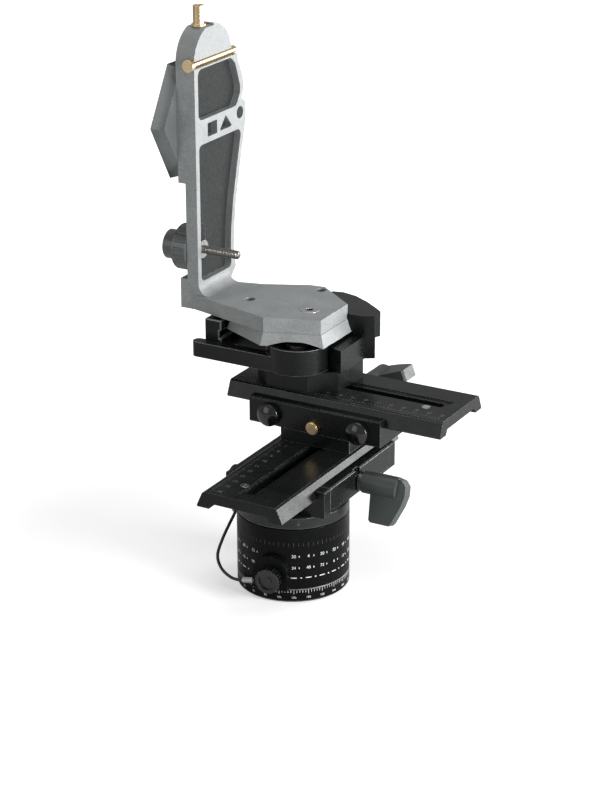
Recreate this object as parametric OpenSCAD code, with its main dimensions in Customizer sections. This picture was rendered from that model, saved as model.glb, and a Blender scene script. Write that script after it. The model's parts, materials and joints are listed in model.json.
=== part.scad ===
// Panoramic tripod head: a click-stop pan barrel, two crossed slide units and an L bracket.
// Frame: origin at the mouth of the tripod thread, +Z up, the lower plate slides along Y,
// the upper plate along X, and the bracket's arm stands at the -X end.

/* [Barrel] */
// Outer diameter of the pan barrel
barrel_d = 80; // [76:1:88]
// Height of the rotating shell's top above the base
shell_top = 56.3; // [54:0.1:64]
// Height of the graduated ring's top
ring_top = 10.8; // [10:0.1:11.5]
// Height of the grey cap under the lower slide unit
cap_h = 9.1; // [8:0.1:12]
// Core radius of the 3/8 inch tripod thread
tripod_r = 3.97; // [3.9:0.01:4.1]
// Number of click stops in a full turn
click_count = 24; // [12:12:24]

/* [Slide units] */
// Length of a carriage
carriage_l = 106; // [100:1:114]
// Width of a carriage over its jaws
carriage_w = 79; // [78:0.5:84]
// Height of a carriage's jaws above its foot
carriage_h = 19.7; // [19:0.1:22]
// Height of the plate's top above the carriage's foot
plate_rise = 25; // [24:0.1:27]
// Height of a plate
plate_h = 11.8; // [11:0.1:12.5]
// Length of a plate
plate_l = 171.8; // [165:1:185]
// Width of a plate's top face
plate_top_w = 57.9; // [55:0.1:59]
// Width of a plate over its flared feet
plate_foot_w = 68.3; // [66:0.1:69]
// Height of the pad between the lower plate and the upper carriage
pad_h = 9.9; // [8:0.1:14]
// Radius of a round guide knob
guide_knob_r = 8.5; // [7:0.1:9]
// Radius of the brass release button
button_r = 4.8; // [3.5:0.1:5]
// Distance from a plate's middle to each of its stop screws
stop_x = 62.7; // [58:0.1:66]

/* [Slide positions] */
// Lower carriage's middle, along Y from the pan axis
lower_carriage_y = 27; // [20:1:30]
// Lower plate's middle, along Y
lower_plate_y = 11.7; // [0:0.1:25]
// Upper carriage's middle, along Y
upper_y = 69.5; // [66:0.5:72]
// Upper plate's middle, along X
upper_plate_x = 10.7; // [0:0.1:25]

/* [Quick release] */
// Height of the release body's seat above the upper plate
seat_h = 34.2; // [33:0.1:38]
// Thickness of the six-sided plate under the bracket
hex_t = 9; // [8:0.1:11]
// Flare of the six-sided plate's foot
hex_flare = 3.8; // [3:0.1:4.5]
// Radius of the locking lever's drum
drum_r = 23.3; // [21:0.1:24]
// Length of the locking lever from its pivot
lever_l = 78; // [74:1:84]

/* [Bracket] */
// Thickness of the bracket's foot
foot_t = 11; // [10:0.5:14]
// Thickness of the bracket's arm
arm_t = 15.5; // [15:0.5:18]
// Depth of the arm's pockets
pocket_d = 5; // [3:0.5:6]
// Radius of the dome at the arm's top
dome_r = 25.5; // [25:0.1:26.5]
// Height of the dome's centre above the foot's top
dome_z = 170.5; // [168:0.5:190]
// Corner radius of the six-sided plate on the arm
arm_hex_r = 45; // [40:1:48]
// Radius of the 1/4 inch camera screw
camera_screw_r = 3.175; // [3.1:0.005:3.2]
// Free length of the camera screw inside the bracket
camera_screw_l = 26.5; // [20:0.5:32]

/* [Hidden] */
$fn = 64;

slip = 0.05;        // radial running clearance of turning and sliding shafts
loose = 0.1;        // clearance of flat sliding faces
over = 1;           // how far a cutting shape runs past a face

black = [0.07, 0.08, 0.08];
satin_grey = [0.36, 0.37, 0.38];
cast_grey = [0.55, 0.57, 0.58];
silver = [0.78, 0.78, 0.8];
brass = [0.78, 0.62, 0.32];
bronze = [0.6, 0.45, 0.28];

// ---- shared shapes ----

// A cylinder along +Y starting at y
module rod_y(r, y, l) translate([0, y, 0]) rotate([-90, 0, 0]) cylinder(r = r, h = l);

// A cylinder along +X starting at x
module rod_x(r, x, l) translate([x, 0, 0]) rotate([0, 90, 0]) cylinder(r = r, h = l);

// A tube along +Y
module tube_y(r_out, r_in, y, l) difference() {
  rod_y(r_out, y, l);
  rod_y(r_in, y - over, l + 2 * over);
}

// A slot with round ends, cut downward from z = 0 to -depth
module slot_cut(half_w, x0, x1, depth) translate([0, 0, -depth]) {
  translate([x0 + half_w, -half_w, 0]) cube([x1 - x0 - 2 * half_w, 2 * half_w, depth + over]);
  translate([x0 + half_w, 0, 0]) cylinder(r = half_w, h = depth + over);
  translate([x1 - half_w, 0, 0]) cylinder(r = half_w, h = depth + over);
}

// A convex outline that grows by foot at its lower face and by top at its upper face
module flared(points, h, foot, top) hull() {
  linear_extrude(0.01) offset(delta = foot) polygon(points);
  translate([0, 0, h - 0.01]) linear_extrude(0.01) offset(delta = top) polygon(points);
}

// ---- barrel ----

barrel_r = barrel_d / 2;
base_t = 9;
flange_t = 3;
flange_r = 16;
bush_r = 9;
bush_h = 15;
shoulder_r = 14.5;
spindle_neck_r = 7;
spindle_r = 10;
bush_t = 3;
web_bottom = 40;
web_top = shell_top - 6.3;
shoulder_z = 25;
washer_t = 1.4;
nut_h = 4;
ring_gap = 0.4;
shell_r_in = barrel_r - 6;
ring_r_in = barrel_r - 4;
index_r_out = 24;
index_r_in = 18;
index_z = 20;
index_h = 15.5;
index_az = -82;
boss_face = barrel_r + 4.2;
boss_half_w = 12.8;
boss_arch_z = 24;
tip_r = 1.45;
stem_r = 3;
base_screw_circle = 12;
cap_screw_circle = 28;
mount_circle = 18;
lower_foot_z = shell_top + cap_h;

module base_disc() color(black) difference() {
  union() {
    cylinder(r = ring_r_in - 0.02, h = base_t);
    cylinder(r = index_r_in - 0.02, h = base_t + 4);
  }
  translate([0, 0, base_t]) cylinder(r = flange_r, h = 6);
  translate([0, 0, -over]) cylinder(r = bush_r, h = base_t + 2 * over);
  for (a = [45:90:359]) rotate(a) translate([base_screw_circle, 0, -over]) {
    cylinder(r = 1.5, h = base_t + 2 * over);
    cylinder(r = 2.8, h = over + 3.4);
  }
}

module scale_ring() color(black) rotate_extrude() polygon([[ring_r_in, 0.6], [barrel_r - 1, 0.6],
  [barrel_r, 1.6], [barrel_r, ring_top - 0.4], [barrel_r - 0.4, ring_top], [ring_r_in, ring_top]]);

module tripod_bush() color(silver) difference() {
  cylinder(r = bush_r, h = bush_h);
  translate([0, 0, -over]) cylinder(r = tripod_r, h = bush_h + 2 * over);
}

module spindle() color(satin_grey) difference() {
  rotate_extrude() polygon([[0, bush_h], [bush_r, bush_h], [bush_r, base_t], [flange_r, base_t],
    [flange_r, base_t + flange_t], [shoulder_r, base_t + flange_t], [shoulder_r, shoulder_z],
    [spindle_r, shoulder_z], [spindle_r, web_top], [spindle_neck_r, web_top],
    [spindle_neck_r, web_top + 6], [0, web_top + 6]]);
  for (a = [45:90:359]) rotate(a) translate([base_screw_circle, 0, base_t - over])
    cylinder(r = 1.5, h = over + 8);
}

module base_screws() color(silver)
  for (a = [45:90:359]) rotate(a) translate([base_screw_circle, 0, 0.5]) {
    cylinder(r = 2.7, h = 2.9);
    cylinder(r = 1.5, h = 15);
  }

module index_ring() color(satin_grey) difference() {
  translate([0, 0, base_t]) cylinder(r = index_r_out, h = index_h);
  translate([0, 0, base_t - over]) cylinder(r = index_r_in, h = index_h + 2 * over);
  for (i = [0:click_count - 1]) rotate(index_az + i * 360 / click_count)
    translate([0, 0, index_z]) rod_x(1.6, index_r_out - 2.6, 4);
}

// The raised arch that carries the index knob
module index_boss() rotate(index_az) translate([barrel_r - 3.5, 0, 0]) rotate([90, 0, 90])
  linear_extrude(boss_face - barrel_r + 3.5) {
    translate([0, boss_arch_z]) circle(r = boss_half_w);
    translate([-boss_half_w, ring_top + 1]) square([2 * boss_half_w, boss_arch_z - ring_top - 1]);
  }

module barrel_shell() color(black) difference() {
  union() {
    rotate_extrude() polygon([[shell_r_in, ring_top + ring_gap], [barrel_r, ring_top + ring_gap],
      [barrel_r, shell_top - 0.5], [barrel_r - 0.5, shell_top], [22, shell_top], [22, web_top],
      [spindle_r + bush_t, web_top], [spindle_r + bush_t, shoulder_z + washer_t],
      [17, shoulder_z + washer_t], [17, web_bottom], [shell_r_in, web_bottom]]);
    index_boss();
  }
  rotate(index_az) translate([0, 0, index_z]) rod_x(stem_r + slip, shell_r_in - 2, 16);
  pin_line() cylinder(r = 1.25, h = pin_l + 0.3);
  for (a = [0:90:359]) rotate(a + 45) translate([cap_screw_circle, 0, shell_top - 9])
    cylinder(r = 1.7, h = 9 + over);
}

module barrel_cap() color(satin_grey) difference() {
  rotate_extrude() polygon([[0, shell_top + 2], [22, shell_top + 2], [22, shell_top],
    [barrel_r - 0.8, shell_top], [barrel_r, shell_top + 0.8], [barrel_r, lower_foot_z - 0.8],
    [barrel_r - 0.8, lower_foot_z], [0, lower_foot_z]]);
  for (a = [0:90:359]) rotate(a + 45) translate([cap_screw_circle, 0, shell_top - over]) {
    cylinder(r = 1.7, h = cap_h + 2 * over);
    translate([0, 0, over + cap_h - 3.2]) cylinder(r = 3.3, h = 4);
  }
  for (a = grub_az) rotate(a) translate([0, 0, grub_z]) rod_x(2, barrel_r - 6, 8);
  for (a = [0:90:359]) rotate(a) translate([mount_circle, 0, lower_foot_z - 5])
    cylinder(r = 2.5, h = 5 + over);
}

grub_az = [-53, 67, -173];
grub_z = shell_top + 5.3;

module cap_screws() color(black) {
  for (a = [0:90:359]) rotate(a + 45) translate([cap_screw_circle, 0, 0]) {
    translate([0, 0, lower_foot_z - 3.2]) cylinder(r = 3.2, h = 3);
    translate([0, 0, shell_top - 8]) cylinder(r = 1.7, h = cap_h + 6);
  }
  for (a = grub_az) rotate(a) translate([0, 0, grub_z]) rod_x(2, barrel_r - 6, 5.2);
}

module spindle_bush() color(bronze) difference() {
  translate([0, 0, shoulder_z + washer_t])
    cylinder(r = spindle_r + bush_t, h = web_top - shoulder_z - washer_t);
  translate([0, 0, shoulder_z]) cylinder(r = spindle_r + slip, h = web_top);
}

module thrust_washer() color([0.85, 0.84, 0.78]) difference() {
  translate([0, 0, shoulder_z]) cylinder(r = flange_r, h = washer_t - loose / 2);
  cylinder(r = spindle_r + 2 * slip, h = shoulder_z + 5);
}

module spindle_nut() color(silver) difference() {
  translate([0, 0, web_top + loose]) cylinder(r = 12.5, h = nut_h, $fn = 6);
  translate([0, 0, web_top - over]) cylinder(r = spindle_neck_r, h = nut_h + 3);
}

knob_face = boss_face + 6;
knob_dish_r = 6.6;

module index_knob() color(black) rotate(index_az) translate([0, 0, index_z]) difference() {
  union() {
    rod_x(9, boss_face + 0.3, knob_face - boss_face - 0.3);
    rod_x(stem_r, 26.6, boss_face - 26);
    rod_x(4.6, 25.2, 1.4);
    rod_x(tip_r, index_r_out - 2.2, 4);
  }
  difference() {
    rod_x(knob_dish_r, knob_face - 1.8, 4);
    rod_x(2.6, knob_face - 2, 1.1);
  }
  for (i = [0:11]) rotate([30 * i, 0, 0]) translate([0, 0, 9.5]) rod_x(1, boss_face - over, 14);
}

// Modelled at the length it has with the knob pulled out
module index_spring() color(silver) rotate(index_az) translate([0, 0, index_z]) difference() {
  rod_x(4.6, shell_r_in - 3.2, 2.8);
  rod_x(stem_r + 0.3, shell_r_in - 5, 8);
}

// Ferrule of the selector pin: from the cable to the side of the arch boss
ferrule_r = 2.2;
ferrule_x = -17.9;
ferrule_start = [ferrule_x, -sqrt(pow(barrel_r + 3.18, 2) - pow(ferrule_x, 2)), ring_top + 0.4];
ferrule_l = 11.1;
pin_l = 15.2;
ferrule_dir = [0.908, -0.262, 0.327];

module pin_line() translate(ferrule_start)
  rotate([0, acos(ferrule_dir[2]), atan2(ferrule_dir[1], ferrule_dir[0])]) children();

module selector_pin() color(silver) pin_line() {
  cylinder(r = ferrule_r, h = ferrule_l);
  cylinder(r = 1.2, h = pin_l);
}

eye_az = -168;
eye_z = 50;

module lanyard_eye() color(silver) rotate(eye_az) translate([0, 0, eye_z]) {
  rod_x(2.6, barrel_r, 4);
  rod_x(3.4, barrel_r + 4, 1);
}

// Route of the tether, from the ferrule round the left of the barrel and up to the eye
lanyard_r = 1.1;
lanyard_route = [ferrule_start, ferrule_start - 6 * ferrule_dir, [-32, -35, 8.6], [-40.8, -32.5, 12.5],
  [-45.4, -29.3, 20], [-44.6, -24, 30], [-42.5, -17.5, 40], [-41.5, -12, 46], [-41.1, -8.7, 50]];
lanyard_steps = 4;
lanyard_sides = 8;

function curve_point(p0, p1, p2, p3, t) = 0.5 * (2 * p1 + (p2 - p0) * t
  + (2 * p0 - 5 * p1 + 4 * p2 - p3) * t * t + (3 * p1 - p0 - 3 * p2 + p3) * t * t * t);
function smooth_route(r, steps) = [for (i = [0:len(r) - 2], s = [0:steps - 1])
  curve_point(r[max(i - 1, 0)], r[i], r[i + 1], r[min(i + 2, len(r) - 1)], s / steps), r[len(r) - 1]];
function unit(v) = v / norm(v);
function heading(p, i) = unit(p[min(i + 1, len(p) - 1)] - p[max(i - 1, 0)]);
function across(d) = unit(cross(d, [0.3, -0.2, 0.93]));
function ring_points(p, i, r, n) = let (d = heading(p, i), a = across(d), b = cross(d, a))
  [for (k = [0:n - 1]) p[i] + r * (cos(360 * k / n) * a + sin(360 * k / n) * b)];

module swept_tube(p, r, n) {
  count = len(p);
  polyhedron(
    points = [for (i = [0:count - 1], q = ring_points(p, i, r, n)) q],
    faces = concat([[for (k = [0:n - 1]) k]],
      [for (i = [0:count - 2], k = [0:n - 1])
        [i * n + k, (i + 1) * n + k, (i + 1) * n + (k + 1) % n, i * n + (k + 1) % n]],
      [[for (k = [n - 1:-1:0]) (count - 1) * n + k]]));
}

module lanyard() color(black)
  swept_tube(smooth_route(lanyard_route, lanyard_steps), lanyard_r, lanyard_sides);

// ---- slide unit, in its own frame: x along the plate, knobs at -y, wing lever at +y ----

floor_z = plate_rise - plate_h;
half_foot = plate_foot_w / 2;
half_top = plate_top_w / 2;
half_w = carriage_w / 2;
lip_half = flank(carriage_h - floor_z);
guide_x = 36;
guide_z = 9;
guide_r = 2.2;
gib_half_l = 44;
gib_face = half_foot + 0.45;
gib_foot = 3.2;
gib_out = half_w;
stud_r = 3.9;
collar_y = gib_out + 0.6;
hub_y = collar_y + 3;
hub_r = 8.2;
hub_l = 27;
wing_half_t = 4.5;
wing_l = 27;
button_z = 5.8;
button_travel = 3;
tab_y = -9.7;
tab_t = 1.8;
stop_y = -8.8;
recess_half = 24;
recess_z = floor_z + 4;
slot_half = 4.1;
slot_end = 72;
track_y0 = -5.2;
track_y1 = 8.6;
mount_head_r = 4.2;
up_head_r = 4.7;
up_shank_r = 3;
up_head_h = 3.6;
pad_screw_xy = 18;

// Half the plate's width at a height above its foot
function flank(z) = half_foot - (half_foot - half_top) * z / plate_h;

module carriage_section(gap) polygon([[-half_w, 1.2], [1.2 - half_w, 0], [half_w - 1.2, 0], [half_w, 1.2],
  [half_w, carriage_h - 0.8], [half_w - 0.8, carriage_h], [lip_half + gap, carriage_h],
  [half_foot + gap, floor_z], [-half_foot - gap, floor_z], [-lip_half - gap, carriage_h],
  [0.8 - half_w, carriage_h], [-half_w, carriage_h - 0.8]]);

// screws lists the places of the screws that hold the carriage down
module carriage(screws) difference() {
  translate([-carriage_l / 2, 0, 0]) rotate([90, 0, 90]) linear_extrude(carriage_l) carriage_section(0.12);
  translate([-gib_half_l - 0.2, lip_half - 1, floor_z]) cube([2 * gib_half_l + 0.4, half_w, carriage_h]);
  translate([-gib_half_l - 0.2, gib_face - 0.1, gib_foot - 0.2])
    cube([2 * gib_half_l + 0.4, half_w, carriage_h]);
  for (x = [-guide_x, guide_x]) translate([x, 0, guide_z]) {
    rod_y(guide_r + slip, -half_w - over, carriage_w + 2 * over);
    rod_y(3.8, gib_face - 7.6, 8);
  }
  translate([0, 0, guide_z]) rod_y(stud_r + slip, 5, half_w);
  translate([0, 0, button_z]) {
    rod_y(button_r + slip, -half_w - over, half_w - 24 + over);
    rod_y(2.6, -half_w, half_w - 2.5);
  }
  translate([-1.7, tab_y - 0.3, 3.4]) cube([3.4, tab_t + button_travel + 0.8, floor_z]);
  for (p = screws) translate([p[0], p[1], -over]) {
    cylinder(r = 2.6, h = floor_z + 2 * over);
    translate([0, 0, floor_z - 3.6 + over]) cylinder(r = mount_head_r + 0.1, h = 5);
  }
}

module down_screws(screws, depth) for (p = screws) translate([p[0], p[1], 0]) {
  translate([0, 0, floor_z - 3.6]) cylinder(r = mount_head_r, h = 3.4);
  translate([0, 0, -depth]) cylinder(r = 2.5, h = depth + floor_z - 3);
}

module gib() difference() {
  translate([-gib_half_l, 0, 0]) rotate([90, 0, 90]) linear_extrude(2 * gib_half_l) polygon([
    [gib_face, gib_foot], [gib_out, gib_foot], [gib_out, carriage_h - 0.8],
    [gib_out - 0.8, carriage_h], [lip_half + 0.14, carriage_h], [half_foot + 0.12, floor_z + 0.2],
    [gib_face, floor_z + 0.2]]);
  for (x = [-guide_x, guide_x]) translate([x, 0, guide_z])
    rod_y(guide_r + 0.1, gib_face - over, 3.6 + over);
  translate([0, 0, guide_z]) rod_y(stud_r + 0.2, gib_face - over, half_w);
  translate([1, gib_out - 2.4, floor_z + 2]) cube([7, 4, carriage_h]);
}

module gib_springs() for (x = [-guide_x, guide_x]) translate([x, 0, guide_z])
  tube_y(3.6, guide_r + 0.3, gib_face - 7.6, 7.5);

module clamp_stud() translate([0, 0, guide_z]) {
  rod_y(stud_r, 8, hub_y + 12 - 8);
  rod_y(7.3, collar_y, hub_y - collar_y);
}

// turn is the lever's angle about the stud, 0 hanging straight down
module wing_lever(turn) translate([0, 0, guide_z]) rotate([0, turn, 0]) difference() {
  union() {
    rod_y(hub_r, hub_y, hub_l);
    translate([-wing_half_t, 0, 0]) rotate([90, 0, 90]) linear_extrude(2 * wing_half_t) polygon([
      [hub_y + 7, 0], [hub_y + 7.5, -8], [hub_y + 9, 1.5 - wing_l], [hub_y + 10.5, -wing_l],
      [hub_y + 25, -wing_l], [hub_y + 26.5, 2 - wing_l], [hub_y + 32, -12], [hub_y + 34, -4],
      [hub_y + 33.5, 3], [hub_y + 30, hub_r - 1.5], [hub_y + hub_l - 2, hub_r - 1], [hub_y + 7, 4]]);
  }
  rod_y(stud_r, hub_y - over, 12 + over);
}

module guide_knob(x) translate([x, 0, guide_z]) {
  rod_y(guide_r, -half_w - 1, half_w + 1 + gib_face + 3.2);
  translate([0, -half_w - 0.3, 0]) rotate([90, 0, 0]) intersection() {
    cylinder(r = guide_knob_r, h = 6.8);
    translate([0, 0, -6.2]) sphere(r = 13);
  }
}

module button() {
  translate([0, 0, button_z]) {
    rod_y(button_r - 0.8, -half_w - 4, 2);
    rod_y(button_r, -half_w - 3.2, half_w + 3.2 - 31);
    rod_y(2.5, -32, 32 + tab_y + tab_t);
  }
  translate([-1.5, tab_y, 4]) cube([3, tab_t, recess_z - 0.8 - 4]);
}

module button_spring() translate([0, 0, button_z]) tube_y(4.4, 2.9, -27.8, 3.8);

// x is the plate's middle
module plate(x) difference() {
  translate([x - plate_l / 2, 0, 0]) rotate([90, 0, 90]) linear_extrude(plate_l) polygon([
    [1 - half_foot, floor_z + slip], [-flank(1), floor_z + 1], [-flank(plate_h - 1), plate_rise - 1],
    [1 - half_top, plate_rise], [half_top - 1, plate_rise], [flank(plate_h - 1), plate_rise - 1],
    [flank(1), floor_z + 1], [half_foot - 1, floor_z + slip], [recess_half, floor_z + slip],
    [recess_half - 2, recess_z], [2 - recess_half, recess_z], [-recess_half, floor_z + slip]]);
  translate([x, 0, plate_rise]) slot_cut(slot_half, -slot_end, slot_end, plate_h);
  translate([x - slot_end - 4, track_y0, plate_rise - 1]) cube([2 * slot_end + 8, track_y1 - track_y0, 2]);
  for (s = [-stop_x, stop_x]) translate([x + s, stop_y, 0]) {
    cylinder(r = 2, h = plate_rise + over);
    translate([0, 0, plate_rise - 1.7]) cylinder(r = 3.3, h = 3);
  }
}

module stop_screws(x) for (s = [-stop_x, stop_x]) translate([x + s, stop_y, 0]) {
  translate([0, 0, floor_z + 0.5]) cylinder(r = 2, h = plate_rise - floor_z - 1);
  translate([0, 0, plate_rise - 1.7]) difference() {
    cylinder(r = 3.2, h = 1.7);
    translate([-4, -0.4, 0.9]) cube([8, 0.8, 2]);
  }
}

// Screws that rise from a plate's underside through its slot at the given places along it
module up_screws(places, reach) for (x = places) translate([x, 0, 0]) {
  translate([0, 0, recess_z - up_head_h]) cylinder(r = up_head_r, h = up_head_h);
  translate([0, 0, recess_z - over]) cylinder(r = up_shank_r, h = plate_rise + reach - recess_z + over);
}

// ---- where the units stand ----

lower_top_z = lower_foot_z + plate_rise;
upper_foot_z = lower_top_z + pad_h;
upper_top_z = upper_foot_z + plate_rise;
lower_plate_x = lower_carriage_y - lower_plate_y;
barrel_screws = [[lower_carriage_y, mount_circle], [lower_carriage_y, -mount_circle],
  [lower_carriage_y + mount_circle, 0], [lower_carriage_y - mount_circle, 0]];
pad_screws = [for (x = [-1, 1], y = [-1, 1]) [x * pad_screw_xy, y * pad_screw_xy]];
pad_mounts = [-22, 8];
adapter_mounts = [-52, -18];

module at_lower() translate([0, lower_carriage_y, lower_foot_z]) rotate(-90) children();
module at_upper() translate([0, upper_y, upper_foot_z]) children();

module lower_carriage() color(black) at_lower() carriage(barrel_screws);
module lower_mount_screws() color(silver) at_lower() down_screws(barrel_screws, 4.8);
module lower_gib() color(black) at_lower() gib();
module lower_gib_springs() color(silver) at_lower() gib_springs();
module lower_clamp_stud() color(satin_grey) at_lower() clamp_stud();
module lower_wing_lever() color(black) at_lower() wing_lever(-18);
module lower_guide_knob_front() color(black) at_lower() guide_knob(guide_x);
module lower_guide_knob_rear() color(black) at_lower() guide_knob(-guide_x);
module lower_button() color(brass) at_lower() button();
module lower_button_spring() color(silver) at_lower() button_spring();
module lower_plate() color(black) at_lower() plate(lower_plate_x);
module lower_stop_screws() color(silver) at_lower() stop_screws(lower_plate_x);

module upper_pad() color(black) difference() {
  translate([-28, upper_y - 38, lower_top_z]) cube([56, 65, pad_h]);
  for (v = pad_mounts) translate([0, upper_y + v, lower_top_z - over]) cylinder(r = 3, h = 7.5 + over);
  for (p = pad_screws) translate([p[0], upper_y + p[1], upper_foot_z - 7]) cylinder(r = 2.5, h = 8);
}
module upper_pad_screws() color(silver) at_upper() down_screws(pad_screws, 6.8);
module upper_carriage() color(black) at_upper() carriage(pad_screws);
module upper_mount_screws() color(silver) at_lower()
  up_screws([for (v = pad_mounts) lower_carriage_y - upper_y - v], 7.3);
module upper_gib() color(black) at_upper() gib();
module upper_gib_springs() color(silver) at_upper() gib_springs();
module upper_clamp_stud() color(satin_grey) at_upper() clamp_stud();
module upper_wing_lever() color(black) at_upper() wing_lever(-110);
module upper_guide_knob_left() color(black) at_upper() guide_knob(-guide_x);
module upper_guide_knob_right() color(black) at_upper() guide_knob(guide_x);
module upper_button() color(brass) at_upper() button();
module upper_button_spring() color(silver) at_upper() button_spring();
module upper_plate() color(black) at_upper() plate(upper_plate_x);
module upper_stop_screws() color(silver) at_upper() stop_screws(upper_plate_x);

// ---- quick release, in plan measured from the upper carriage's middle line ----

seat_z = upper_top_z + seat_h;
foot_z = seat_z + hex_t;
foot_top = foot_z + foot_t;
hex_outline = [[-44, -34], [-5, -20], [-5, 20], [-38, 46], [-80, 24], [-80, -16.5]];
drum_x = -26.5;
drum_y = -14.5;
pedestal_h = 14.4;
drum_z = upper_top_z + pedestal_h + 0.3;
drum_h = seat_z - 0.6 - drum_z;
lever_pin_r = 5;
lever_half_w = 4.5;
lever_offset = 16.5;
lever_t = 11.5;
jaw_x = -98;
jaw_low = upper_top_z + 16.2;
jaw_high = foot_z - 1.3;
tongue_y0 = 2;
tongue_y1 = 18;
tongue_end = -58;
tongue_h = 8;

module at_seat() translate([0, upper_y, 0]) children();

// Space that the six-sided plate and the bracket's foot need between the jaws
module plate_space(gap) {
  translate([0, 0, seat_z]) flared(hex_outline, hex_t, hex_flare + gap, 0.6 + gap);
  translate([0, 0, foot_z - 0.02]) linear_extrude(foot_t) offset(delta = 0.9 + gap) polygon(hex_outline);
}

module adapter_body() color(black) at_seat() difference() {
  union() {
    translate([0, 0, upper_top_z]) linear_extrude(pedestal_h) polygon([[-64, -8], [-46, -27], [-12, -27],
      [5, -12], [8, 20], [-6, 32], [-58, 32], [-66, 20]]);
    translate([0, 0, upper_top_z + pedestal_h]) linear_extrude(seat_h - pedestal_h) polygon([[-82, -8],
      [-12, -8], [8.5, -15], [8.5, 21], [15, 25], [-8, 34], [-60, 34], [-82, 24]]);
    translate([0, 0, seat_z - 3.5]) linear_extrude(16.5) polygon([[-8, 18], [9, 20], [15, 24], [17, 29],
      [14, 35], [8, 40], [-4, 49], [-18, 57], [-30, 60], [-38, 58], [-40, 50], [-30, 38]]);
  }
  plate_space(0.25);
  translate([drum_x, drum_y, drum_z - 0.3]) cylinder(r = drum_r + 0.7, h = 40);
  translate([drum_x, drum_y, upper_top_z + 3]) cylinder(r = lever_pin_r, h = 30);
  translate([drum_x - 60, drum_y - 30, drum_z - 0.3]) cube([60, 22.4, 40]);
  translate([-9, -30, seat_z - 2.5]) cube([30, 48, 40]);
  translate([-100, tongue_y0 - 0.15, jaw_low - 0.15])
    cube([100 + tongue_end + 5, tongue_y1 - tongue_y0 + 0.3, tongue_h + 0.3]);
  for (x = adapter_mounts) translate([x, 0, upper_top_z - over]) cylinder(r = 3, h = 9.5 + over);
}

module adapter_screws() color(silver) at_upper() up_screws(adapter_mounts, 9);

module adapter_lever() color(black) at_seat() difference() {
  union() {
    translate([drum_x, drum_y, drum_z]) cylinder(r = drum_r, h = drum_h);
    translate([drum_x - lever_l + lever_half_w, drum_y - lever_offset - lever_half_w, drum_z])
      cube([lever_l - lever_half_w, 2 * lever_half_w, lever_t]);
    translate([drum_x - lever_l + lever_half_w, drum_y - lever_offset, drum_z])
      cylinder(r = lever_half_w, h = lever_t);
  }
  translate([drum_x, drum_y, drum_z - over]) cylinder(r = lever_pin_r + slip, h = drum_h + 2 * over);
  translate([drum_x, drum_y, drum_z + drum_h - 4.2]) cylinder(r = drum_r - 3, h = 6);
}

module adapter_lever_pin() color(satin_grey) at_seat() translate([drum_x, drum_y, 0]) {
  translate([0, 0, upper_top_z + 3]) cylinder(r = lever_pin_r, h = drum_z + drum_h - 4 - upper_top_z - 3);
  translate([0, 0, drum_z + drum_h - 4.1]) cylinder(r = 9, h = 2.4);
}

module adapter_jaw() color(black) at_seat() difference() {
  union() {
    translate([jaw_x, -26, jaw_low]) cube([13.8, 52, jaw_high - jaw_low]);
    translate([jaw_x, tongue_y0, jaw_low]) cube([tongue_end - jaw_x, tongue_y1 - tongue_y0, tongue_h]);
  }
  plate_space(0.1);
  translate([-86, -60, seat_z - 6]) cube([40, 120, 6.01]);
}

// ---- bracket ----

arm_in = -108.5;
arm_out = arm_in - arm_t;
slot_y = -3;
slot_low = foot_top + 25.5;
slot_high = foot_top + 50.5;
slot_r = 4.8;
thin_out = arm_out + 6;
screw_z = foot_top + 31.5;
screw_neck_r = camera_screw_r - 0.2;
rod_z = foot_top + dome_z;
dome_y = 9;
rod_x0 = arm_in - 3.5;
rod_r = 2.8;
ear_y = 45;
ear_z = foot_top + 123.5;
ear_hole_r = 4.6;
hex_y = 12;
hex_z = foot_top + 126.5;
foot_holes = [[-72.5, -4.2], [-37, 38.2]];
insert_xy = [-23, -4];
insert_r = 7;
insert_h = 8.5;
plate_screw_xy = [[-62, -6], [-58, 24], [-14, 14]];
stud_x = arm_out + arm_t / 2;
stud_y = 3;
stud_z = rod_z + dome_r - 1.5;
arm_screw_angles = [90, 210, 330];

// The arm's side outline, y against height above the foot's top
arm_outline = [[-16.5, -foot_t], [26, -foot_t], [27, -3], [31, 3], [36.4, 8.5], [34, 24.5], [35, 40],
  [37.8, 58.5], [44, 83.5], [50.5, 108.5], [53, 117], [53, 130], [47.5, 133.5], [50.8, 141.5],
  [49, 150.5], [43.3, 162.5], [42, 168], [34.5, dome_z], [-16.5, dome_z]];
lower_pocket = [[-12, 9.5], [30, 9.5], [29.5, 24.5], [30.5, 40], [33.5, 58.5], [39.5, 83.5], [46, 107],
  [44, 111.5], [-12, 111.5]];
upper_pocket = [[-12, 129.5], [40, 129.5], [45.5, 138], [46, 143], [39, 162], [33, 166.5], [-12, 166.5]];

// An outline in y and z, cut or built from x0 towards +X
module side_shape(points, x0, l, z)
  translate([x0, 0, z]) rotate([90, 0, 90]) linear_extrude(l) polygon(points);

// The same with its corners rounded
module side_pocket(points, r) translate([arm_in - pocket_d, 0, foot_top]) rotate([90, 0, 90])
  linear_extrude(pocket_d + over) offset(r = r, $fn = 24) offset(delta = -r) polygon(points);

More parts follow.
